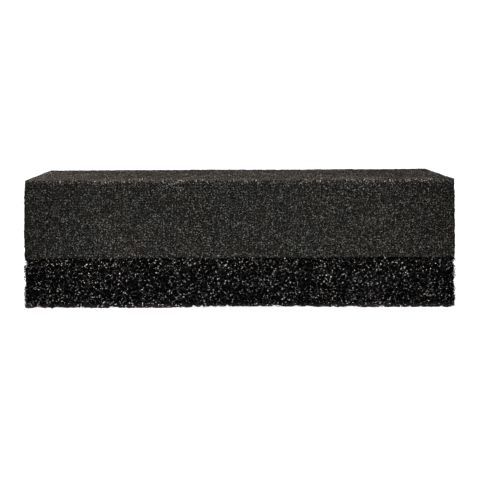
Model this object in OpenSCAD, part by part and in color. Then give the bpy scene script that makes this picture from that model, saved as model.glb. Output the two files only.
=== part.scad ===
// Two-layer cleaning sponge: a fine foam block bonded on a coarse layer of open cells.
// Millimetres, standing on z = 0, centred on the origin, +X along the length.

/* [Block] */
// Length of both layers
block_length = 150; // [110:1:180]
// Depth of both layers, front to back
block_depth = 90; // [60:1:105]

/* [Fine foam] */
// Thickness of the fine foam
fine_height = 27; // [12:0.5:45]
// How far the middle of each side swells past the cut edges
fine_swell = 0.35; // [0.1:0.05:1.5]

/* [Coarse foam] */
// Thickness of the coarse foam
coarse_height = 17.2; // [10:0.1:22]
// Distance from one open cell to the next
cell_pitch = 3.5; // [3.3:0.1:6]
// Depth of an open cell under the cut face
cell_depth = 2.4; // [0.6:0.1:2.8]
// Share of the pitch that a cell's corner may wander
cell_scatter = 0.09; // [0:0.01:0.15]
// How far the ragged cut edges are torn back
edge_tear = 0.45; // [0:0.05:0.6]
// How far the cell rims between the cut edges are torn back
rim_tear = 0.2; // [0:0.05:0.6]
// How far the sides draw in at the waist under the bond
waist_depth = 0.5; // [0:0.05:1.5]
// Height of the waist above the base
waist_height = 12; // [6:0.1:14]
// How far the coarse layer stands back from the fine one at the bond
bond_setback = 0.15; // [0:0.05:0.6]

/* [Hidden] */
// An odd number of columns, and of rows past a multiple of four, put a cell on the base's middle
cells_long = 2 * round((block_length / cell_pitch - 1) / 2) + 1;
cells_deep = 4 * round((block_depth / cell_pitch - 1) / 4) + 1;
cells_high = max(2, round(coarse_height / cell_pitch));
// Every cell row is half a cell off the next, so rims are counted in half cells
halves_long = 2 * cells_long;
halves_deep = 2 * cells_deep;
halves_round = 2 * (halves_long + halves_deep);
cell_width = block_length / cells_long;
cell_run = block_depth / cells_deep;
row_height = coarse_height / cells_high;
// Rims zigzag by this share of the pitch, which makes each cell six-sided
zigzag_share = 0.13;
// An open cell stays this share of its distance from the nearest cut edge
edge_share = 0.7;
swell_facets = 256;

// Repeatable value from 0 to 1 for a place on a lattice
function chance(a, b, c) =
    let (wave = sin(a * 127.1 + b * 311.7 + c * 74.7) * 437.585)
    wave - floor(wave);

function wander(a, b, c) = (2 * chance(a, b, c) - 1) * cell_scatter * cell_pitch;

// Half of the rims keep to the cut face and the others are torn back, by 0 to 1
function torn(a, b, c) = max(0, 2 * chance(a, b, c) - 1);

// Up where a cell wall of the next row starts, down where one of this row ends
function zigzag(half, row) = ((half + row) % 2 == 0 ? 1 : -1) * zigzag_share * cell_pitch;

function mean(points) = [for (point = points) 1 / len(points)] * points;

// Inset of the sides at height z: none at the base, most at the waist
function side_inset(z) =
    z <= waist_height
        ? waist_depth * (1 - cos(180 * z / waist_height)) / 2
        : waist_depth - (waist_depth - bond_setback)
            * (1 - cos(180 * (z - waist_height) / max(0.1, coarse_height - waist_height))) / 2;

side_halves = [halves_long, halves_deep, halves_long, halves_deep];
side_start = [0, halves_long, halves_long + halves_deep, 2 * halves_long + halves_deep];
side_out = [[0, -1], [1, 0], [0, 1], [-1, 0]];
side_along = [[1, 0], [0, 1], [-1, 0], [0, -1]];

function side_of(half) =
    half < side_start[1] ? 0
    : half < side_start[2] ? 1
    : half < side_start[3] ? 2
    : 3;

// Rim corner on the sides, by half cells round the block and by level up it
function ring_point(half, level) =
    let (
        side = side_of(half),
        step = half - side_start[side],
        at_corner = step == 0,
        at_end = level == 0 || level == cells_high,
        lift = level == 0 ? edge_tear * torn(half, level, 8) : 0,
        z = level * row_height + (at_end ? lift : zigzag(half, level) + wander(half, level, 1)),
        inset = side_inset(z) + (at_corner || at_end ? edge_tear : rim_tear) * torn(half, level, 3),
        span = side % 2 == 0 ? block_length : block_depth,
        reach = side % 2 == 0 ? block_depth : block_length,
        slide = at_corner ? 0 : wander(half, level, 2),
        along = (step / side_halves[side] - 0.5) * (span - 2 * inset) + slide,
        out = reach / 2 - inset
    )
    [
        side_along[side][0] * along + side_out[side][0] * out,
        side_along[side][1] * along + side_out[side][1] * out,
        z
    ];

// The base's middle cell stays closed, as a flat place to measure from
datum_column = (cells_long - 1) / 2;
datum_row = (cells_deep - 1) / 2;

function on_datum(half, level) =
    abs(half - cells_long) <= 1 && (level == datum_row || level == datum_row + 1);

// Rim corner on the base, by half cells from the left and by level from the front
function base_point(half, level) =
    let (fixed = on_datum(half, level))
    [
        half * cell_width / 2 - block_length / 2 + (fixed ? 0 : wander(half, level, 4)),
        level * cell_run - block_depth / 2 + zigzag(half, level) + (fixed ? 0 : wander(half, level, 5)),
        fixed ? 0 : rim_tear * torn(half, level, 9)
    ];

function ring_index(half, level) = level * halves_round + half % halves_round;

first_base = (cells_high + 1) * halves_round;

// The base's outer rims are the lowest ring of the sides
function base_index(half, level) =
    level == 0 ? ring_index(half, 0)
    : half == halves_long ? ring_index(side_start[1] + 2 * level, 0)
    : level == cells_deep ? ring_index(side_start[3] - half, 0)
    : half == 0 ? ring_index(halves_round - 2 * level, 0)
    : first_base + (level - 1) * (halves_long - 1) + half - 1;

ring_points = [
    for (level = [0:cells_high])
        for (half = [0:halves_round - 1])
            ring_point(half, level)
];
base_points = [
    for (level = [1:cells_deep - 1])
        for (half = [1:halves_long - 1])
            base_point(half, level)
];
rim_points = concat(ring_points, base_points);

// Rim of one cell in the sides, clockwise from outside
function side_rim(cell, row) =
    let (start = 2 * cell + row % 2)
    [
        for (n = [0:2]) ring_index(start + n, row + 1),
        for (n = [2:-1:0]) ring_index(start + n, row)
    ];

// Rim of one cell in the base, clockwise from below; odd rows start and end with half a cell
function base_rim(cell, row) =
    let (
        odd = row % 2,
        left = max(0, 2 * cell - odd),
        right = min(halves_long, 2 * cell - odd + 2)
    )
    [
        for (half = [left:right]) base_index(half, row),
        if (right == halves_long) ring_index(side_start[1] + 2 * row + 1, 0),
        for (half = [right:-1:left]) base_index(half, row + 1),
        if (left == 0) ring_index(halves_round - 2 * row - 1, 0)
    ];

side_rims = [
    for (row = [0:cells_high - 1])
        for (cell = [0:halves_round / 2 - 1])
            side_rim(cell, row)
];
base_rims = [
    for (row = [0:cells_deep - 1])
        for (cell = [0:cells_long - 1 + row % 2])
            base_rim(cell, row)
];

function rim_middle(rim) = mean([for (index = rim) rim_points[index]]);

// Deepest that a cell may go, from its distances to the nearest cut edges
function room(distances) = edge_share * min(distances);

function open_depth(middle, salt) = cell_depth * (0.75 + 0.5 * chance(middle[0], middle[1], middle[2] + salt));

// Floor of an open cell in the sides: straight in, or slantwise where the cell wraps a corner
function side_floor(cell, row) =
    let (
        middle = rim_middle(side_rim(cell, row)),
        centre_half = (2 * cell + row % 2 + 1) % halves_round,
        side = side_of(centre_half),
        wraps = centre_half == side_start[side],
        gap = side % 2 == 0 ? block_length / 2 - abs(middle[0]) : block_depth / 2 - abs(middle[1]),
        depth = wraps
            ? open_depth(middle, 6) / 2
            : min(open_depth(middle, 6), room([middle[2], gap])),
        inward = wraps ? [-sign(middle[0]), -sign(middle[1])] : -side_out[side]
    )
    [middle[0] + inward[0] * depth, middle[1] + inward[1] * depth, middle[2]];

function base_floor(rim) =
    let (
        middle = rim_middle(rim),
        gap_x = block_length / 2 - abs(middle[0]),
        gap_y = block_depth / 2 - abs(middle[1]),
        closed = norm([middle[0], middle[1]]) < cell_pitch / 4
    )
    [middle[0], middle[1], closed ? 0 : middle[2] + min(open_depth(middle, 7), room([gap_x, gap_y]))];

side_floors = [
    for (row = [0:cells_high - 1])
        for (cell = [0:halves_round / 2 - 1])
            side_floor(cell, row)
];
base_floors = [for (rim = base_rims) base_floor(rim)];

first_floor = len(rim_points);

// One facet falls from each stretch of a cell's rim to its floor
function funnel(rim, floor_index) =
    [for (n = [0:len(rim) - 1]) [rim[n], rim[(n + 1) % len(rim)], floor_index]];

all_rims = concat(side_rims, base_rims);
cell_facets = [for (n = [0:len(all_rims) - 1]) each funnel(all_rims[n], first_floor + n)];
bond_facet = [for (half = [halves_round - 1:-1:0]) ring_index(half, cells_high)];

// Side view of the fine foam: straight top and base, with sides swollen by two great arcs
module swollen_outline(width) {
    arc_radius = (fine_height * fine_height / 4 + fine_swell * fine_swell) / (2 * fine_swell);
    middle_height = coarse_height + fine_height / 2;
    intersection() {
        translate([-width / 2, coarse_height])
            square([width, fine_height]);
        translate([arc_radius - width / 2, middle_height])
            circle(r = arc_radius, $fn = swell_facets);
        translate([width / 2 - arc_radius, middle_height])
            circle(r = arc_radius, $fn = swell_facets);
    }
}

module fine_foam_block() {
    color("#3e3c39")
    intersection() {
        rotate([90, 0, 0])
            linear_extrude(height = block_depth, center = true)
                swollen_outline(block_length);
        rotate([90, 0, 90])
            linear_extrude(height = block_length, center = true)
                swollen_outline(block_depth);
    }
}

module coarse_scrub_layer() {
    color("#1b1b1b")
    polyhedron(
        points = concat(rim_points, side_floors, base_floors),
        faces = concat(cell_facets, [bond_facet])
    );
}

fine_foam_block();
coarse_scrub_layer();
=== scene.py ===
# Cleaning sponge: a fine foam block bonded on a coarse open-cell scrubbing layer
import math

import bpy
import numpy as np
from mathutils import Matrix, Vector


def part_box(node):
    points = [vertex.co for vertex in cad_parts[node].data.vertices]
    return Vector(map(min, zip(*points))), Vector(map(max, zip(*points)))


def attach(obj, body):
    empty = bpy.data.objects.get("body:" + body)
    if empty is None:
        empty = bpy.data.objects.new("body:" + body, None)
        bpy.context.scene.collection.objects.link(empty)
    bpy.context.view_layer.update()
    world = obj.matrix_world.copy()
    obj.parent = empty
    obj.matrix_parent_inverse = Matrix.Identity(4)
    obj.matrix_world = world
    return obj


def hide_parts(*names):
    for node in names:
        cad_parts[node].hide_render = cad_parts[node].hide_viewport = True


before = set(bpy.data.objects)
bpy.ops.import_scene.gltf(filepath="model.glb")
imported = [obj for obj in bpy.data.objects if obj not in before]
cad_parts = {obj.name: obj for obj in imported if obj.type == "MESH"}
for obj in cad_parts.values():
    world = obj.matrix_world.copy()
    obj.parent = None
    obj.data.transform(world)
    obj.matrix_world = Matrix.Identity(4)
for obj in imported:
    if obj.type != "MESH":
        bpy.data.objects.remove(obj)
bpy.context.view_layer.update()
millimetre = 0.001

photoCamera = {
    "lens": 127.03,  # mm, on a sensor 36 mm wide
    "place": (-3.57, -631.0, 71.9),  # mm
    "turn": (86.42, 0.16, -0.37),  # degrees
    "frameRise": -0.0686,  # share of the picture's width
}


def addCamera(settings):
    view = bpy.data.cameras.new("photo_camera")
    view.lens = settings["lens"]
    view.shift_y = settings["frameRise"]
    view.clip_start = 0.01
    camera = bpy.data.objects.new("photo_camera", view)
    camera.location = [n * millimetre for n in settings["place"]]
    camera.rotation_euler = [math.radians(n) for n in settings["turn"]]
    bpy.context.collection.objects.link(camera)
    bpy.context.scene.camera = camera


addCamera(photoCamera)
bpy.context.scene.view_settings.view_transform = "Standard"
print("camera is up")

# One number for each use of chance, so that no two draws repeat
draws = {
    "fineSkin": 100,
    "shadeCoreSkin": 300,
    "topPatches": 61,
    "bondPatches": 62,
    "baseNotches": 63,
    "endNotches": 64,
    "cellMiddles": 21,
    "joints": 24,
    "strutWidths": 31,
    "cutStruts": 41,
}

# The two foams' boxes come from the CAD model, in mm, so that both stay in step
fineBox = [np.array(corner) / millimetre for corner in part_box("fine_foam_block")]
coarseBox = [np.array(corner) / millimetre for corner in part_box("coarse_scrub_layer")]


def chance(spots, salt):  # for each row of three whole numbers, the same value from 0 to 1 each run
    # The large odd numbers only stir the bits
    mixed = np.full(len(spots), salt * 974634777, np.uint64)
    for axis, prime in enumerate((374761393, 668265263, 1274126177)):
        mixed += (spots[:, axis] + 1048576).astype(np.uint64) * np.uint64(prime)
    mixed &= np.uint64(0xFFFFFFFF)
    for shift, prime in ((13, 1103515245), (15, 2246822519)):
        mixed = ((mixed ^ (mixed >> np.uint64(shift))) * np.uint64(prime)) & np.uint64(0xFFFFFFFF)
    mixed ^= mixed >> np.uint64(16)
    return mixed / 4294967295.0


def turnMatrix(angles):
    ax, ay, az = [math.radians(angle) for angle in angles]
    aboutX = np.array([[1, 0, 0], [0, math.cos(ax), -math.sin(ax)], [0, math.sin(ax), math.cos(ax)]])
    aboutY = np.array([[math.cos(ay), 0, math.sin(ay)], [0, 1, 0], [-math.sin(ay), 0, math.cos(ay)]])
    aboutZ = np.array([[math.cos(az), -math.sin(az), 0], [math.sin(az), math.cos(az), 0], [0, 0, 1]])
    return aboutZ @ aboutY @ aboutX


def addPiece(name, places, triangles, mapPlaces, material, node):
    mesh = bpy.data.meshes.new(name)
    mesh.vertices.add(len(places))
    mesh.vertices.foreach_set("co", (places * millimetre).astype(np.float32).ravel())
    mesh.loops.add(triangles.size)
    mesh.loops.foreach_set("vertex_index", triangles.astype(np.int32).ravel())
    mesh.polygons.add(len(triangles))
    mesh.polygons.foreach_set("loop_start", np.arange(0, triangles.size, 3, dtype=np.int32))
    bakeMap = mesh.uv_layers.new(name="OFBake")
    bakeMap.uv.foreach_set("vector", mapPlaces.astype(np.float32).ravel())
    mesh.update(calc_edges=True)
    mesh.materials.append(material)
    piece = bpy.data.objects.new(name, mesh)
    bpy.context.collection.objects.link(piece)
    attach(piece, "root")
    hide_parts(node)
    print(name, "has", len(triangles), "triangles")
    return piece


def addTone(piece, tone):  # a colour at each corner, which multiplies the piece's own
    colours = np.column_stack([tone, np.ones(len(tone))]).astype(np.float32)
    piece.data.attributes.new("tone", "FLOAT_COLOR", "POINT").data.foreach_set("color", colours.ravel())


def startMaterial(name):
    material = bpy.data.materials.new(name)
    material.use_nodes = True
    nodes = material.node_tree.nodes
    return material, nodes, material.node_tree.links, nodes["Principled BSDF"]


def addNoise(nodes, links, size, detail):  # size is the width of a patch in mm
    coordinates = nodes.new("ShaderNodeTexCoord")
    noise = nodes.new("ShaderNodeTexNoise")
    noise.inputs["Scale"].default_value = 1 / (size * millimetre)
    noise.inputs["Detail"].default_value = detail
    links.new(coordinates.outputs["Object"], noise.inputs["Vector"])
    return noise


def addGrains(nodes, links, size):  # many small cells, each of one shade
    coordinates = nodes.new("ShaderNodeTexCoord")
    grains = nodes.new("ShaderNodeTexVoronoi")
    grains.inputs["Scale"].default_value = 1 / (size * millimetre)
    links.new(coordinates.outputs["Object"], grains.inputs["Vector"])
    drawn = nodes.new("ShaderNodeSeparateColor")
    links.new(grains.outputs["Color"], drawn.inputs["Color"])
    return grains.outputs["Distance"], drawn.outputs["Red"]


def addRamp(nodes, links, source, stops):
    ramp = nodes.new("ShaderNodeValToRGB")
    while len(ramp.color_ramp.elements) < len(stops):
        ramp.color_ramp.elements.new(0.5)
    for element, (position, colour) in zip(ramp.color_ramp.elements, stops):
        element.position = position
        element.color = (*colour, 1)
    links.new(source, ramp.inputs["Fac"])
    return ramp


def grey(stops):
    return [(position, (shade, shade, shade)) for position, shade in stops]


def addMix(nodes, links, blend, first, second):
    mix = nodes.new("ShaderNodeMix")
    mix.data_type = "RGBA"
    mix.blend_type = blend
    for name, colour in (("A", first), ("B", second)):
        if isinstance(colour, tuple):
            mix.inputs[name].default_value = (*colour, 1)
        else:
            links.new(colour, mix.inputs[name])
    return mix


def addBump(nodes, links, height, shader, depth, strength):
    bump = nodes.new("ShaderNodeBump")
    bump.inputs["Distance"].default_value = depth * millimetre
    bump.inputs["Strength"].default_value = strength
    links.new(height, bump.inputs["Height"])
    links.new(bump.outputs["Normal"], shader.inputs["Normal"])


# Fine foam: one closed skin, pitted with small pores on the top and the four sides

fineFoam = {
    "poresLong": 160,
    "poresDeep": 96,
    "poresHigh": 29,
    "poreDepth": (0.15, 0.62),  # mm, least and most
    "rimTear": 0.25,  # mm that a rim may lie under the cut face
    "tearPower": 1,  # the higher, the fewer rims are torn deep
    "edgeTear": 0.12,  # mm that the pitted end's edges may be torn
    "cornerTear": 0.5,  # mm that the upright edges may be torn
    "tuftShare": (0.001, 0.03),  # on the pitted end, and on the sides
    "tuft": 0.4,  # mm that a stray tuft stands out
    "bondTear": 0.75,  # mm, how ragged the edge at the bond is
    "bondLift": (0.32, 0.57),  # mm that this edge lies above the bond, on the left and on the right
    "wave": 0.07,  # mm, how uneven the pitted end is
    "wander": 0.38,  # share of the pitch that a rim's corner may wander
    "widest": 0.3,  # share of the height where the sides swell most
    "swell": (0.1, 0.36),  # mm that the flat end's edges and the pitted end's lie inside that
    "edgeRound": (0.25, 0.1, 0.6, 0.1),  # mm, along the pitted end's front, right, back and left edges
    "roundFade": (0.25, 14),  # share of the rounding left at the corners, and mm to where it is whole
    "pittedLift": (0.46, 0.69),  # mm that the pitted end is higher, on the left and on the right
    # painted shade: the colour of the pores' floors, darker than their depth alone shades them
    "poreFloorPaintedShade": (0.0006, 0.0006, 0.0006),
    "poreFloorShadeGain": 1.4,  # the higher, the more pores get the full painted shade at the bottom
    "wallShadesAndPaintedGlints": [  # how common the walls' shades are, from dark to the few bright painted glints
        (0.0, 0.0003),
        (0.35, 0.0045),
        (0.65, 0.019),
        (0.9, 0.055),
        (1.0, 0.33),
    ],
    "wallSize": 0.22,  # mm
    "patchTints": [(0.35, (1.03, 0.93, 0.81)), (0.65, (0.93, 0.95, 0.88))],
    "patchShades": [(0.3, 0.9), (0.7, 1.0)],
    "patchSize": 7,  # mm
    "edgeWearAndPaintedSheen": 0.6,  # how much paler the frayed edges of the two ends are, as wear and painted sheen
    "edgeReach": 1.4,  # mm
    # warmer on the top, and paler there as painted light
    "topTintAndPaintedLight": (1.19, 1.1, 1.06),
    "lipPaintedHighlight": (0.5, 24),  # painted highlight: how much paler the top is at its front edge, and mm to where that ends
    "topMottle": [(24, 0.2), (4.5, 0.22), (1.3, 0.75)],  # patch width in mm, and drift of its shade
    "mottleTurn": 25,  # degrees from each of these to the next, so that no row of patches follows an edge
    "cornerPaintedShades": [(0.65, 28)],  # painted shade at the upright edges, and mm to where it is 1
    "sidesPaintedShadeAtTop": 0.82,  # painted shade: shade at the top of the sides, where 1 is the shade at the bond
    "bump": (0.3, 0.5),  # mm, and strength
    "roughness": 0.5,
    "specular": 0.02,
}


def pittedSkin(low, high, settings, salt):  # each draw adds a number of its own to the salt
    long, deep, tall = settings["poresLong"], settings["poresDeep"], settings["poresHigh"]
    roomShare = 0.7  # share of the way to the nearest edge that a pore may go
    size = high - low
    middle = (low + high) / 2
    around = 2 * (long + deep)
    sideCells = np.array([long, deep, long, deep])
    sideStart = np.array([0, long, long + deep, 2 * long + deep])
    outward = np.array([[0, -1], [1, 0], [0, 1], [-1, 0]])
    forward = np.array([[1, 0], [0, 1], [-1, 0], [0, -1]])
    step = np.arange(around)
    side = np.searchsorted(sideStart, step, side="right") - 1
    stepOnSide = step - sideStart[side]

    def spots(a, b, c):
        grid = np.broadcast_arrays(a, b, c)
        return np.stack([part.ravel() for part in grid], 1)

    def wander(places, number):
        return (2 * chance(places, salt + number) - 1) * settings["wander"]

    def roundsAt(x):  # the rounding of the four edges beside each place
        found = np.tile(np.array(settings["edgeRound"], float), (len(x), 1))
        least, reach = settings["roundFade"]
        share = least + (1 - least) * np.clip(np.minimum(x - low[0], high[0] - x) / reach, 0, 1)
        found[:, [0, 2]] *= share[:, None]
        return found

    def roundedOff(fromEdge, rounding):  # how far the skin falls back near the pitted end's edge
        fallen = rounding - np.sqrt(rounding**2 - np.clip(rounding - fromEdge, 0, rounding) ** 2)
        return np.minimum(fallen, (1 - math.sqrt(0.5)) * rounding)

    def endFall(x, y):
        toEdges = np.stack([y - low[1], high[0] - x, high[1] - y, x - low[0]], 1)
        return roundedOff(toEdges, roundsAt(x)).max(1)

    def fallBack(places, number, tuftShare):  # most rims lie under the cut face, and a few stand out
        drawn = chance(places, salt + number) ** settings["tearPower"]
        tufts = chance(places, salt + number + 20) < tuftShare
        return np.where(tufts, -settings["tuft"] * drawn, settings["rimTear"] * drawn)

    def liftAt(x, name):
        return np.interp(x, (low[0], high[0]), settings[name])

    def uneven(x, y):
        waves = np.sin(x / 7.3 + 1.3 * np.sin(y / 11)) + np.sin(y / 6.1 + 1.7 * np.sin(x / 17))
        return settings["wave"] * waves / 2

    # Rims round the sides, from the flat end to the pitted one
    level = np.arange(tall + 1)[:, None]
    rims = spots(step[None, :], level, 0)
    inner = (rims[:, 1] > 0) & (rims[:, 1] < tall)
    rise = (rims[:, 1] + wander(rims, 1) * inner) / tall
    widest = settings["widest"]
    flatSwell, pittedSwell = settings["swell"]
    endTufts, sideTufts = settings["tuftShare"]
    inset = flatSwell * np.clip(1 - rise / widest, 0, 1) ** 2
    inset = inset + pittedSwell * np.clip((rise - widest) / (1 - widest), 0, 1) ** 2
    inset = inset + fallBack(rims, 2, sideTufts)
    onSide = side[rims[:, 0]]
    share = stepOnSide[rims[:, 0]]
    inset = inset + settings["cornerTear"] * chance(rims, salt + 12) ** 2 * (share == 0)
    share = (share + wander(rims, 3) * (share > 0)) / sideCells[onSide]
    span = size[onSide % 2]
    reach = size[1 - onSide % 2] / 2

    def onFloorPlan(along, out):
        return middle[:2] + forward[onSide] * along[:, None] + outward[onSide] * out[:, None]

    square = onFloorPlan((share - 0.5) * span, reach)
    height = rise * size[2] - endFall(square[:, 0], square[:, 1]) * rise**12  # only near the pitted end
    rounds = roundsAt(square[:, 0])
    byRim = np.arange(len(rims))
    before, own, after = [
        inset + roundedOff(size[2] - height, rounds[byRim, (onSide + n) % 4]) for n in (-1, 0, 1)
    ]
    flat = onFloorPlan(before + share * (span - before - after) - span / 2, reach - own)
    drop = settings["edgeTear"] * chance(rims, salt + 13) ** 3 + uneven(flat[:, 0], flat[:, 1])
    drop = drop - liftAt(flat[:, 0], "pittedLift")
    ragged = 0.5 + 0.25 * (np.sin(flat[:, 0] / 5.7) + np.sin(flat[:, 1] / 4.3 + flat[:, 0] / 3.1))
    torn = settings["bondTear"] * (ragged * chance(rims, salt + 9) - 0.3) * (rims[:, 1] == 0)
    torn = torn + liftAt(flat[:, 0], "bondLift") * (1 - rise) ** 6  # only near the bond
    ringPlaces = np.column_stack([flat, low[2] + height - drop * (rims[:, 1] == tall) + torn])

    # Rims between them on the pitted end
    row, column = np.mgrid[1:deep, 1:long]
    ends = spots(column, row, 7)
    endX = low[0] + size[0] * (ends[:, 0] + wander(ends, 5)) / long
    endY = low[1] + size[1] * (ends[:, 1] + wander(ends, 6)) / deep
    endZ = high[2] - fallBack(ends, 7, endTufts) - endFall(endX, endY) - uneven(endX, endY)
    endZ = endZ + liftAt(endX, "pittedLift")
    endPlaces = np.column_stack([endX, endY, endZ])
    rimPlaces = np.concatenate([ringPlaces, endPlaces])
    endIndex = np.zeros((deep + 1, long + 1), int)
    endIndex[1:deep, 1:long] = len(ringPlaces) + np.arange(len(endPlaces)).reshape(deep - 1, long - 1)
    lastRing = tall * around
    endIndex[0, :] = lastRing + np.arange(long + 1)
    endIndex[:, long] = lastRing + long + np.arange(deep + 1)
    endIndex[deep, :] = lastRing + long + deep + np.arange(long + 1)[::-1]
    endIndex[1:, 0] = lastRing + 2 * long + deep + np.arange(deep)[::-1]
    endIndex[0, 0] = lastRing

    # Every cell is four rims and a floor
    ringIndex = np.arange((tall + 1) * around).reshape(tall + 1, around)
    ringNext = np.roll(ringIndex, -1, 1)
    sideCorners = np.stack(
        [ringIndex[:-1], ringNext[:-1], ringNext[1:], ringIndex[1:]], -1
    ).reshape(-1, 4)
    endCorners = np.stack(
        [endIndex[:-1, :-1], endIndex[:-1, 1:], endIndex[1:, 1:], endIndex[1:, :-1]], -1
    ).reshape(-1, 4)
    corners = np.concatenate([sideCorners, endCorners])
    face = np.concatenate([np.tile(side, tall), np.full(len(endCorners), 4)])
    floors = rimPlaces[corners].mean(1)
    inward = np.array([[0, 1, 0], [-1, 0, 0], [0, -1, 0], [1, 0, 0], [0, 0, -1]])[face]
    least, most = settings["poreDepth"]
    depth = least + (most - least) * chance(spots(np.arange(len(corners)), 3, 11), salt + 8)
    toEdge = np.stack([floors - low, high - floors], -1).min(-1)
    toEdge[inward != 0] = np.inf  # a pore's own way in doesn't limit it
    toEdge[:, 2] = np.where(face < 4, high[2] - floors[:, 2], toEdge[:, 2])
    depth = np.minimum(depth, roomShare * toEdge.min(1))
    floors = floors + inward * depth[:, None]

    count = len(rimPlaces)
    floorIndex = count + np.arange(len(floors))
    fans = [np.column_stack([corners[:, n], corners[:, (n + 1) % 4], floorIndex]) for n in range(4)]
    base = count + len(floors)
    flatEnd = np.column_stack([np.roll(step, -1), step, np.full(around, base)])
    places = np.concatenate([rimPlaces, floors, [[middle[0], middle[1], low[2]]]])
    triangles = np.concatenate([np.stack(fans, 1).reshape(-1, 3), flatEnd])
    faces = np.concatenate([np.repeat(face, 4), np.full(around, 5)])
    # mask for the painted shade in the pores: 0 at the rims, up to 1 at the floors
    hollow = np.zeros(len(places))
    hollow[floorIndex] = np.minimum(settings["poreFloorShadeGain"] * depth / most, 1)
    return places, triangles, faces, hollow


def cornerPaintedShade(places, box, shades):  # painted shade: darker towards the four upright edges
    toCorner = np.minimum(places - box[0], box[1] - places)[:, :2].max(1)
    tone = np.ones(len(places))
    for shade, reach in shades:
        tone = tone * (shade + (1 - shade) * np.clip(toCorner / reach, 0, 1))
    return tone


def mottle(places, width, salt):  # soft patches from -1 to 1, of the given width
    spot = places[:, :2] / width
    cell = np.floor(spot).astype(int)
    part = spot - cell
    part = part * part * (3 - 2 * part)
    drawn = []
    for right, up in ((0, 0), (1, 0), (0, 1), (1, 1)):
        key = np.column_stack([cell + [right, up], np.zeros(len(cell), int)])
        weight = np.abs(1 - right - part[:, 0]) * np.abs(1 - up - part[:, 1])
        drawn.append((2 * chance(key, salt) - 1) * weight)
    return np.sum(drawn, axis=0)


def edgeWearAndPaintedSheen(places, low, high, reach):  # 1 at the top's and the base's edges, down to 0 past the reach
    toFaces = np.minimum(places - low, high - places)
    return np.clip(1 - np.maximum(toFaces[:, 2], toFaces[:, :2].min(1)) / reach, 0, 1)


def chartPlaces(places, triangles, faces, low, high):  # the unfolded block, laid out in the unit square
    size = high - low
    corner = places[triangles] - low
    gap = 3  # mm between charts
    right = size[0] + 2 * gap
    above = size[1] + 2 * gap
    # Each face has its two axes, its scale and its corner; the flat end is small, as it is out of sight
    charts = {
        4: (0, 1, 1, gap, gap),
        0: (0, 2, 1, gap, above),
        2: (0, 2, 1, gap, above + size[2] + gap),
        1: (2, 1, 1, right, gap),
        3: (2, 1, 1, right + size[2] + gap, gap),
        5: (0, 1, 0.2, right, above),
    }
    found = np.zeros((len(triangles), 3, 2))
    for face, (across, up, scale, left, bottom) in charts.items():
        onChart = faces == face
        found[onChart, :, 0] = corner[onChart][:, :, across] * scale + left
        found[onChart, :, 1] = corner[onChart][:, :, up] * scale + bottom
    return found / (found.max() + gap)


def makeFineMaterial(settings):
    material, nodes, links, shader = startMaterial("fine_foam")
    distance, drawn = addGrains(nodes, links, settings["wallSize"])
    # random wall shades, with a few painted glints among them
    shade = addRamp(nodes, links, drawn, grey(settings["wallShadesAndPaintedGlints"]))
    # painted shade: the pores darkened towards their floors
    pore = nodes.new("ShaderNodeAttribute")
    pore.attribute_name = "hollow"
    darkened = addMix(nodes, links, "MIX", shade.outputs["Color"], settings["poreFloorPaintedShade"])
    links.new(pore.outputs["Fac"], darkened.inputs["Factor"])
    patch = addNoise(nodes, links, settings["patchSize"], 3)
    patches = nodes.new("ShaderNodeSeparateColor")
    links.new(patch.outputs["Color"], patches.inputs["Color"])
    tint = addRamp(nodes, links, patches.outputs["Red"], settings["patchTints"])
    patchShade = addRamp(nodes, links, patches.outputs["Green"], grey(settings["patchShades"]))
    tone = nodes.new("ShaderNodeAttribute")
    tone.attribute_name = "tone"
    colour = darkened.outputs["Result"]
    for shading in (tint.outputs["Color"], patchShade.outputs["Color"], tone.outputs["Color"]):
        product = addMix(nodes, links, "MULTIPLY", colour, shading)
        product.inputs["Factor"].default_value = 1.0
        colour = product.outputs["Result"]
    links.new(colour, shader.inputs["Base Color"])
    shader.inputs["Roughness"].default_value = settings["roughness"]
    shader.inputs["Specular IOR Level"].default_value = settings["specular"]
    addBump(nodes, links, distance, shader, *settings["bump"])
    return material


fineLow, fineHigh = fineBox
fineSkin = pittedSkin(fineLow, fineHigh, fineFoam, draws["fineSkin"])
finePlaces, fineTriangles, fineFaces, fineHollow = fineSkin
fineMap = chartPlaces(finePlaces, fineTriangles, fineFaces, fineLow, fineHigh)
fineMaterial = makeFineMaterial(fineFoam)
finePiece = addPiece(
    "fine_foam_skin", finePlaces, fineTriangles, fineMap, fineMaterial, "fine_foam_block"
)
fineRise = np.clip((finePlaces[:, 2] - fineLow[2]) / (fineHigh[2] - fineLow[2]), 0, 1)
fineOnTop = np.isin(np.arange(len(finePlaces)), fineTriangles[fineFaces == 4])
# painted shade: the sides darker towards the top
fineTone = np.where(fineOnTop, 1, 1 - (1 - fineFoam["sidesPaintedShadeAtTop"]) * fineRise)
for number, (patchWidth, drift) in enumerate(fineFoam["topMottle"], 1):
    turned = finePlaces @ turnMatrix((0, 0, fineFoam["mottleTurn"] * number))
    fineTone *= np.exp(fineOnTop * drift * mottle(turned, patchWidth, draws["topPatches"]))
fineTop = fineHigh + [0, 0, np.mean(fineFoam["pittedLift"])]
# paler frayed edges: partly wear, partly painted sheen
fineTone += fineFoam["edgeWearAndPaintedSheen"] * edgeWearAndPaintedSheen(finePlaces, fineLow, fineTop, fineFoam["edgeReach"])
# painted highlight along the top's front edge
lipHighlight, lipReach = fineFoam["lipPaintedHighlight"]
fineTone += fineOnTop * lipHighlight * np.clip(1 - (finePlaces[:, 1] - fineLow[1]) / lipReach, 0, 1)
fineTone *= cornerPaintedShade(finePlaces, fineBox, fineFoam["cornerPaintedShades"])
# the top gets its warm tint and painted light
addTone(finePiece, np.where(fineOnTop[:, None], fineFoam["topTintAndPaintedLight"], 1.0) * fineTone[:, None])
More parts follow.
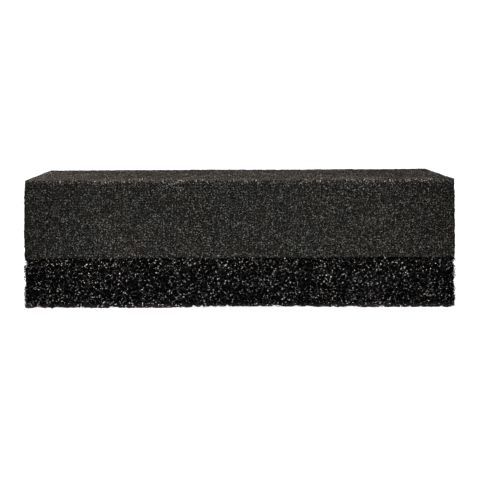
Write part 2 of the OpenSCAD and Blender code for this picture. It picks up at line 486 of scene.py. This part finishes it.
# the pores' mask for their painted shade
hollow = finePiece.data.attributes.new("hollow", "FLOAT", "POINT")
hollow.data.foreach_set("value", fineHollow.astype(np.float32))
print("the fine foam is made")


# Coarse foam: a net of struts, cut off at the block's faces, round a dark pitted core that stands in for
# the shade deep inside

coarseFoam = {
    "cell": 1.75,  # mm, the lattice's repeat: two open cells in each cube of it
    "seedDrift": 1.8,  # quarter cells that a cell's middle may drift
    "jointDrift": 0.6,  # quarter cells that a joint may drift besides
    "turn": (15, 24, 18),  # degrees, so that no row of cells follows a face
    "sideDepth": 1.15,  # mm of net behind a side
    "baseDepth": 0.85,  # mm of net over the base
    "shadeCoreInset": (0.85, 0.45, 0.85),  # mm of the net that the dark shade core takes up at the ends, front and base
    "strut": 0.125,  # mm from a joint's middle to its corners
    "strutVariety": 0.35,  # share that it may differ by from the thickest to the thinnest
    "tear": 0.14,  # mm that a cut strut may stand out or fall short
    "shortest": 0.06,  # mm that it has at least
    "tipShare": 0.8,  # width of its end, as a share of the strut's own
    "stray": 0.1,  # mm that the sides' struts reach past the cut face
    "bondRise": 0.76,  # mm that the net may reach up past the bond
    "bondPatch": 1.6,  # mm, the width of the patches that do
    "baseRise": 0.85,  # mm that its base may be worn away
    "baseNotch": 0.9,  # mm, the width of the notches there
    "endWear": 1.1,  # mm that its two ends may be worn away
    "endNotch": 1.2,  # mm
    "notchRun": 4,  # how many times further a notch runs in from an edge than along it
    "arch": (0.5, 6, 24),  # mm that the base is hollow, where along it, and how far to each side
    "grain": 0.25,  # mm
    "grainShadesAndPaintedGlints": [  # mostly dark, with a few bright painted glints
        (0.0, 0.0002),
        (0.5, 0.003),
        (0.85, 0.011),
        (0.94, 0.13),
        (1.0, 1.5),
    ],
    "upPaintedLight": 1.25,  # painted light: shade at the bond, where 1 is the shade at the base
    "tint": (1.04, 1.0, 0.99),
    # painted shade at the upright edges, and mm to where it is 1
    "cornerPaintedShades": [(0.7, 28), (0.4, 4)],
    "baseDustAndPaintedBounce": (2.0, 1.75, 1.6),  # how much paler and warmer the base is, as dust and painted bounce light
    "dustReach": 2.2,  # mm
    "roughness": 0.35,
    "specular": 0.025,
}


def jointKind(joints):  # which axis of each joint is odd, which a multiple of four, and which is left
    odd = np.argmax(joints & 1, axis=1)
    even = np.argmax((joints & 3) == 0, axis=1)
    rows = np.arange(len(joints))
    value = joints[rows, odd]
    toFour = np.where((value & 3) == 1, value - 1, value + 1)
    return rows, odd, even, 3 - odd - even, toFour, 2 * value - toFour


def stepped(joints, rows, odd, newValue, axis, change):
    moved = joints.copy()
    moved[rows, odd] = newValue
    moved[rows, axis] += change
    return moved


def jointLinks(joints):  # the four joints that each is tied to
    rows, odd, even, other, toFour, toTwo = jointKind(joints)
    links = [stepped(joints, rows, odd, toFour, even, change) for change in (1, -1)]
    links += [stepped(joints, rows, odd, toTwo, other, change) for change in (1, -1)]
    return np.stack(links, 1)


def scatter(points, salt):
    return 2 * np.stack([chance(points, salt + axis) for axis in range(3)], 1) - 1


def jointPlaces(joints, settings):  # a joint is the mean of the middles of the four cells round it
    rows, odd, even, other, toFour, toTwo = jointKind(joints)
    cells = [stepped(joints, rows, odd, toFour, other, change) for change in (2, -2)]
    cells += [stepped(joints, rows, odd, toTwo, even, change) for change in (2, -2)]
    total = np.zeros(joints.shape)
    for cell in cells:
        total += cell + settings["seedDrift"] * scatter(cell, draws["cellMiddles"])
    return total / 4 + settings["jointDrift"] * scatter(joints, draws["joints"])


def notches(places, width, salt, settings):
    stretched = places * [1, 1 / settings["notchRun"], 1]
    return np.maximum(mottle(stretched, width, salt), 0)


def wornBase(places, settings):  # how high the base lies, hollow in the middle and worn in notches
    height, middle, reach = settings["arch"]
    arched = height * np.exp(-(((places[:, 0] - middle) / reach) ** 2))
    worn = notches(places, settings["baseNotch"], draws["baseNotches"], settings)
    return arched + settings["baseRise"] * worn


def wornEnds(places, settings):  # how far the two ends are worn back, in notches too
    worn = notches(places[:, [2, 1, 0]], settings["endNotch"], draws["endNotches"], settings)
    return settings["endWear"] * worn


def coarseRoom(places, settings):  # depth under the nearest cut face, less than 0 outside
    low, high = coarseBox
    toEnds = high[0] - np.abs(places[:, 0]) - wornEnds(places, settings)
    toSides = np.minimum(toEnds, high[1] - np.abs(places[:, 1])) + settings["stray"]
    reachUp = 0.5 + 0.5 * mottle(places, settings["bondPatch"], draws["bondPatches"])
    toBond = high[2] + settings["bondRise"] * reachUp - places[:, 2]
    toBase = places[:, 2] - low[2] - wornBase(places, settings)
    return np.minimum(toSides, np.minimum(toBase, toBond)), toSides


def netJoints(settings):
    margin = 2  # mm, more than any joint may drift
    leastRoom = 0.03  # mm, so that no strut starts on the cut face
    low, high = coarseBox
    turn = turnMatrix(settings["turn"])
    quarter = settings["cell"] / 4
    spans = list(zip(low, high))
    ends = np.array([[x, y, z] for x in spans[0] for y in spans[1] for z in spans[2]])
    onLattice = ends @ turn / quarter
    least = np.floor(onLattice.min(0) / 4).astype(int) - 1
    most = np.ceil(onLattice.max(0) / 4).astype(int) + 1
    grid = np.mgrid[least[0]:most[0], least[1]:most[1], least[2]:most[2]]
    cubes = np.stack([part.ravel() for part in grid], 1) * 4
    kinds = [np.roll([odd, first, 2 - first], n) for odd in (1, 3) for first in (0, 2) for n in range(3)]
    joints = np.concatenate([cubes + kind for kind in kinds])
    unmoved = joints * quarter @ turn.T
    room, toSides = coarseRoom(unmoved, settings)
    nearSides = toSides < settings["sideDepth"] + margin
    nearBase = unmoved[:, 2] < settings["baseDepth"] + margin
    joints = joints[(room > -margin) & (nearSides | nearBase)]
    places = jointPlaces(joints, settings) * quarter @ turn.T
    room, toSides = coarseRoom(places, settings)
    inShell = (toSides < settings["sideDepth"]) | (places[:, 2] < settings["baseDepth"])
    inShell &= room > leastRoom
    return joints[inShell], turn, quarter


def regionOf(places, settings):  # which piece a joint belongs to, so that none grows too heavy
    toEnds = coarseBox[1][0] - np.abs(places[:, 0])
    toFronts = coarseBox[1][1] - np.abs(places[:, 1])
    atSide = np.minimum(toEnds, toFronts) < settings["sideDepth"]
    front = np.where(places[:, 1] < 0, 0, 1)
    return np.where(atSide, front, np.where(places[:, 0] < 0, 2, 3))


def strutNet(settings):
    joints, turn, quarter = netJoints(settings)

    def placed(points):
        return jointPlaces(points, settings) * quarter @ turn.T

    places = placed(joints)
    region = regionOf(places, settings)
    links = jointLinks(joints)
    linkPlaces = placed(links.reshape(-1, 3)).reshape(-1, 4, 3)
    span = linkPlaces - places[:, None]
    length = np.linalg.norm(span, axis=2)
    ray = span / length[:, :, None]

    def keyOf(points):
        shifted = points.astype(np.int64) + 4096
        return (shifted[..., 0] * 8192 + shifted[..., 1]) * 8192 + shifted[..., 2]

    order = np.argsort(keyOf(joints))
    sortedKeys = keyOf(joints)[order]
    spot = np.searchsorted(sortedKeys, keyOf(links)).clip(0, len(order) - 1)
    tied = np.where(sortedKeys[spot] == keyOf(links), order[spot], -1)
    drawn = chance(joints, draws["strutWidths"]) - 0.5
    thick = settings["strut"] * (1 + settings["strutVariety"] * drawn)
    corners = places[:, None] - ray * thick[:, None, None]  # a joint is a small four-cornered block

    # The side of a joint that faces a link is the triangle of the three corners of the other links
    cornerIndex = np.arange(len(joints) * 4).reshape(-1, 4)
    others = np.array([[1, 2, 3], [0, 2, 3], [0, 1, 3], [0, 1, 2]])
    sides = cornerIndex[:, others]
    sidePlaces = corners[:, others]
    fromFirst = sidePlaces[:, :, 1:] - sidePlaces[:, :, :1]
    normal = np.cross(fromFirst[:, :, 0], fromFirst[:, :, 1])
    turned = (normal * ray).sum(2) < 0
    sides[turned] = sides[turned][:, [0, 2, 1]]
    allPlaces = corners.reshape(-1, 3)

    # Struts between two joints, made once from the lower-numbered one
    here, link = np.nonzero(tied > np.arange(len(joints))[:, None])
    there = tied[here, link]
    back = np.argmax(tied[there] == here[:, None], axis=1)
    near = sides[here, link]
    far = sides[there, back][:, ::-1]
    travel = (places[there] - places[here])[:, None]
    moved = allPlaces[near] + travel
    twists = [((moved - allPlaces[np.roll(far, -n, 1)]) ** 2).sum((1, 2)) for n in range(3)]
    best = np.argmin(np.stack(twists, 1), axis=1)  # the least twisted of the three ways to join them
    far = far[np.arange(len(far))[:, None], (np.arange(3)[None] + best[:, None]) % 3]

    def walls(first, second):
        made = []
        for n in range(3):
            m = (n + 1) % 3
            made.append(np.column_stack([first[:, n], first[:, m], second[:, m]]))
            made.append(np.column_stack([first[:, n], second[:, m], second[:, n]]))
        return np.stack(made, 1).reshape(-1, 3)

    same = region[here] == region[there]
    triangles = [walls(near[same], far[same])]
    owner = [np.repeat(region[here[same]], 6)]

    # Struts that pass from one piece to the next are halved, with both halves closed
    split = ~same
    halfway = (allPlaces[near[split]] + allPlaces[far[split]]) / 2
    count = len(allPlaces)
    nearEnd = count + np.arange(halfway.shape[0] * 3).reshape(-1, 3)
    farEnd = nearEnd + halfway.shape[0] * 3
    extra = [halfway.reshape(-1, 3), halfway.reshape(-1, 3)]
    count += halfway.shape[0] * 6
    triangles += [walls(near[split], nearEnd), nearEnd, walls(farEnd, far[split]), farEnd[:, ::-1]]
    owner += [np.repeat(region[here[split]], 6), region[here[split]]]
    owner += [np.repeat(region[there[split]], 6), region[there[split]]]

    # Struts that leave the net are cut off at the block's face, or run on into the dark shade core
    here, link = np.nonzero(tied < 0)
    roomHere = coarseRoom(places[here], settings)[0]
    roomThere = coarseRoom(linkPlaces[here, link], settings)[0]
    share = np.where(roomThere < 0, roomHere / (roomHere - np.minimum(roomThere, -1e-6)), 1.0)
    slack = settings["tear"] * (2 * chance(links[here, link], draws["cutStruts"]) - 1)
    run = np.maximum(share * length[here, link] + slack, settings["shortest"])
    near = sides[here, link]
    tip = allPlaces[near] + (ray[here, link] * run[:, None])[:, None]
    heart = tip.mean(1, keepdims=True)
    tip = heart + (tip - heart) * settings["tipShare"]
    tipIndex = count + np.arange(len(near) * 3).reshape(-1, 3)
    extra.append(tip.reshape(-1, 3))
    triangles += [walls(near, tipIndex), tipIndex]
    owner += [np.repeat(region[here], 6), region[here]]
    allPlaces = np.concatenate([allPlaces, *extra])
    allPlaces[:, 2] = np.maximum(allPlaces[:, 2], coarseBox[0][2])
    return allPlaces, np.concatenate(triangles), np.concatenate(owner)


def baseTone(places, settings):  # paler and warmer towards the base: dust and painted bounce light
    dust = np.clip(1 - places[:, 2] / settings["dustReach"], 0, 1)[:, None]
    return 1 + (np.array(settings["baseDustAndPaintedBounce"]) - 1) * dust


def strutTone(places, settings):
    rise = np.clip(places[:, 2] / coarseBox[1][2], 0, 1)
    # painted light: the net paler towards the bond
    tone = 1 + (settings["upPaintedLight"] - 1) * rise**3
    tone = tone * cornerPaintedShade(places, coarseBox, settings["cornerPaintedShades"])
    return tone[:, None] * settings["tint"] * baseTone(places, settings)


def makeStrutMaterial(settings):
    material, nodes, links, shader = startMaterial("coarse_struts")
    _, drawn = addGrains(nodes, links, settings["grain"])
    # random strut shades, with a few painted glints among them
    shade = addRamp(nodes, links, drawn, grey(settings["grainShadesAndPaintedGlints"]))
    tone = nodes.new("ShaderNodeAttribute")
    tone.attribute_name = "tone"
    colour = addMix(nodes, links, "MULTIPLY", shade.outputs["Color"], tone.outputs["Color"])
    colour.inputs["Factor"].default_value = 1.0
    links.new(colour.outputs["Result"], shader.inputs["Base Color"])
    shader.inputs["Roughness"].default_value = settings["roughness"]
    shader.inputs["Specular IOR Level"].default_value = settings["specular"]
    return material


strutMaterial = makeStrutMaterial(coarseFoam)
netPlaces, netTriangles, netOwner = strutNet(coarseFoam)
netNames = ["coarse_net_front", "coarse_net_back", "coarse_net_base_left", "coarse_net_base_right"]
mapSpans = [190, 190, 160, 160]  # mm that the whole map takes up
mapSlant = 0.3  # how far the depth shifts a place on the map of a side
for number, name in enumerate(netNames):
    used, numbered = np.unique(netTriangles[netOwner == number], return_inverse=True)
    places, triangles = netPlaces[used], numbered.reshape(-1, 3)
    flat = places[triangles] - coarseBox[0]
    if number < 2:  # laid out from the front, or from below
        onMap = np.stack([flat[..., 0] + mapSlant * flat[..., 1], flat[..., 2]], -1)
    else:
        onMap = flat[..., :2]
    onMap = onMap / mapSpans[number]
    piece = addPiece(name, places, triangles, onMap, strutMaterial, "coarse_scrub_layer")
    addTone(piece, strutTone(places, coarseFoam))


# A dark stand-in for the shade deep inside the coarse foam, pitted as the fine one is but turned upside
# down

coarseShadeCore = {
    "poresLong": 130,
    "poresDeep": 78,
    "poresHigh": 15,
    "poreDepth": (0.4, 0.9),  # mm
    "rimTear": 1.3,  # mm
    "tearPower": 7,
    "edgeTear": 0.9,  # mm
    "cornerTear": 1.3,  # mm
    "tuftShare": (0.0, 0.0),
    "tuft": 0.0,
    "bondTear": 0.0,
    "bondLift": (0.0, 0.0),
    "wave": 0.0,
    "wander": 0.3,
    "widest": 0.8,
    "swell": (0.0, -0.4),  # mm; less than 0, so that the base flares out
    "edgeRound": (0, 0, 0, 0),
    "pittedLift": (0.0, 0.0),
    "roundFade": (1, 1),
    "poreFloorShadeGain": 1.0,
    # painted shade: near-black, with patches a little paler
    "shade": (0.0005, 0.0005, 0.0005),
    "bloom": (0.0015, 0.0015, 0.0015),
    "bloomSize": 2,  # mm
    "baseDustAndPaintedBounce": (36, 31, 29),  # how much paler the base's edge is, as dust and painted bounce light
    "dustReach": 1.6,  # mm
    "endFade": 3,  # mm in from the ends over which their wear dies away
    "roughness": 0.8,
    "specular": 0.01,
}


# painted shade for the inside of the coarse foam
def makeShadeCoreMaterial(settings):
    material, nodes, links, shader = startMaterial("coarse_shade_core")
    patch = addNoise(nodes, links, settings["bloomSize"], 2)
    stops = [(0.35, settings["shade"]), (0.7, settings["bloom"])]
    shade = addRamp(nodes, links, patch.outputs["Fac"], stops)
    tone = nodes.new("ShaderNodeAttribute")
    tone.attribute_name = "tone"
    colour = addMix(nodes, links, "MULTIPLY", shade.outputs["Color"], tone.outputs["Color"])
    colour.inputs["Factor"].default_value = 1.0
    links.new(colour.outputs["Result"], shader.inputs["Base Color"])
    shader.inputs["Roughness"].default_value = settings["roughness"]
    shader.inputs["Specular IOR Level"].default_value = settings["specular"]
    return material


def makeShadeCore(settings):  # its pitted end faces down, so it is made upside down and turned over
    sideDepth = coarseFoam["sideDepth"]
    inset = np.array([sideDepth, sideDepth, coarseFoam["baseDepth"]]) - coarseFoam["shadeCoreInset"]
    low, high = coarseBox[0] + inset, coarseBox[1] - inset
    high[2] = coarseBox[1][2]
    places, triangles, faces, _ = pittedSkin(low, high, settings, draws["shadeCoreSkin"])
    places[:, 2] = low[2] + high[2] - places[:, 2]
    atEnds = np.clip(1 - (high[0] - np.abs(places[:, 0])) / settings["endFade"], 0, 1)
    places[:, 0] -= np.sign(places[:, 0]) * wornEnds(places, coarseFoam) * atEnds
    places[:, 2] += wornBase(places, coarseFoam) * (1 - places[:, 2] / high[2])
    triangles = triangles[:, ::-1]
    onMap = chartPlaces(places, triangles, faces, low, high)
    material = makeShadeCoreMaterial(settings)
    piece = addPiece(
        "coarse_shade_core", places, triangles, onMap, material, "coarse_scrub_layer"
    )
    addTone(piece, baseTone(places, settings))


makeShadeCore(coarseShadeCore)
print("the coarse foam is made")


# Floor and light

studio = {
    "floorColour": (0.3, 0.3, 0.3),
    "floorGlow": 0.85,  # a lit table, so that hardly a shadow shows
    "floorRadius": 2500,  # mm, flat up to here, then it sweeps up
    "sweepRadius": 1200,  # mm
    "worldColour": (1.0, 1.0, 1.0),
    "worldStrength": 0.3,
    "suns": [  # name, compass angle from the front, height angle and spread in degrees, strength, colour
        ("key", -5, 52, 18, 2.5, (1.0, 1.0, 1.0)),
        ("fill", 8, 48, 22, 1.4, (1.0, 1.0, 1.0)),
    ],
    "lamp": {  # behind on the left, so that the top is paler there
        "place": (-180, 120, 190),  # mm
        "width": 120,  # mm
        "power": 0.45,  # watts
        "colour": (1.0, 0.9, 0.8),
    },
}


def addFloor(settings):
    turns, steps = 96, 12
    flatRadius, bend = settings["floorRadius"], settings["sweepRadius"]
    profile = [(flatRadius * share, 0) for share in (0.1, 0.4, 1)]
    angles = [math.pi / 2 * step / steps for step in range(1, steps + 1)]
    profile += [(flatRadius + bend * math.sin(angle), bend * (1 - math.cos(angle))) for angle in angles]
    corners = [(0, 0, 0)]
    faces = []
    for radius, height in profile:
        for turn in range(turns):
            angle = 2 * math.pi * turn / turns
            ahead, aside = radius * math.cos(angle), radius * math.sin(angle)
            corners.append((ahead * millimetre, aside * millimetre, height * millimetre))
    for turn in range(turns):
        after = (turn + 1) % turns
        faces.append((0, 1 + turn, 1 + after))
        for ring in range(len(profile) - 1):
            near, far = 1 + ring * turns, 1 + (ring + 1) * turns
            faces.append((near + turn, far + turn, far + after, near + after))
    mesh = bpy.data.meshes.new("floor")
    mesh.from_pydata(corners, [], faces)
    mesh.polygons.foreach_set("use_smooth", [True] * len(faces))
    material, nodes, links, shader = startMaterial("pale_floor")
    shader.inputs["Base Color"].default_value = (*settings["floorColour"], 1)
    shader.inputs["Roughness"].default_value = 1.0
    shader.inputs["Specular IOR Level"].default_value = 0.0
    shader.inputs["Emission Color"].default_value = (1, 1, 1, 1)
    shader.inputs["Emission Strength"].default_value = settings["floorGlow"]
    mesh.materials.append(material)
    floor = bpy.data.objects.new("floor", mesh)
    bpy.context.collection.objects.link(floor)


def addLights(settings):
    world = bpy.data.worlds.new("studio")
    world.use_nodes = True
    background = world.node_tree.nodes["Background"]
    background.inputs["Color"].default_value = (*settings["worldColour"], 1)
    background.inputs["Strength"].default_value = settings["worldStrength"]
    bpy.context.scene.world = world
    for name, compass, height, spread, strength, colour in settings["suns"]:
        light = bpy.data.lights.new(name, "SUN")
        light.energy = strength
        light.color = colour
        light.angle = math.radians(spread)
        sun = bpy.data.objects.new(name, light)
        sun.location = (0, 0, 1)
        sun.rotation_euler = (math.radians(90 - height), 0, math.radians(compass))
        bpy.context.collection.objects.link(sun)
    near = settings["lamp"]
    light = bpy.data.lights.new("back_lamp", "AREA")
    light.energy = near["power"]
    light.color = near["colour"]
    light.size = near["width"] * millimetre
    lamp = bpy.data.objects.new("back_lamp", light)
    lamp.location = [n * millimetre for n in near["place"]]
    lamp.rotation_euler = lamp.location.to_track_quat("Z", "Y").to_euler()
    lamp.visible_camera = False
    bpy.context.collection.objects.link(lamp)


addFloor(studio)
addLights(studio)
print("floor and lights are up")
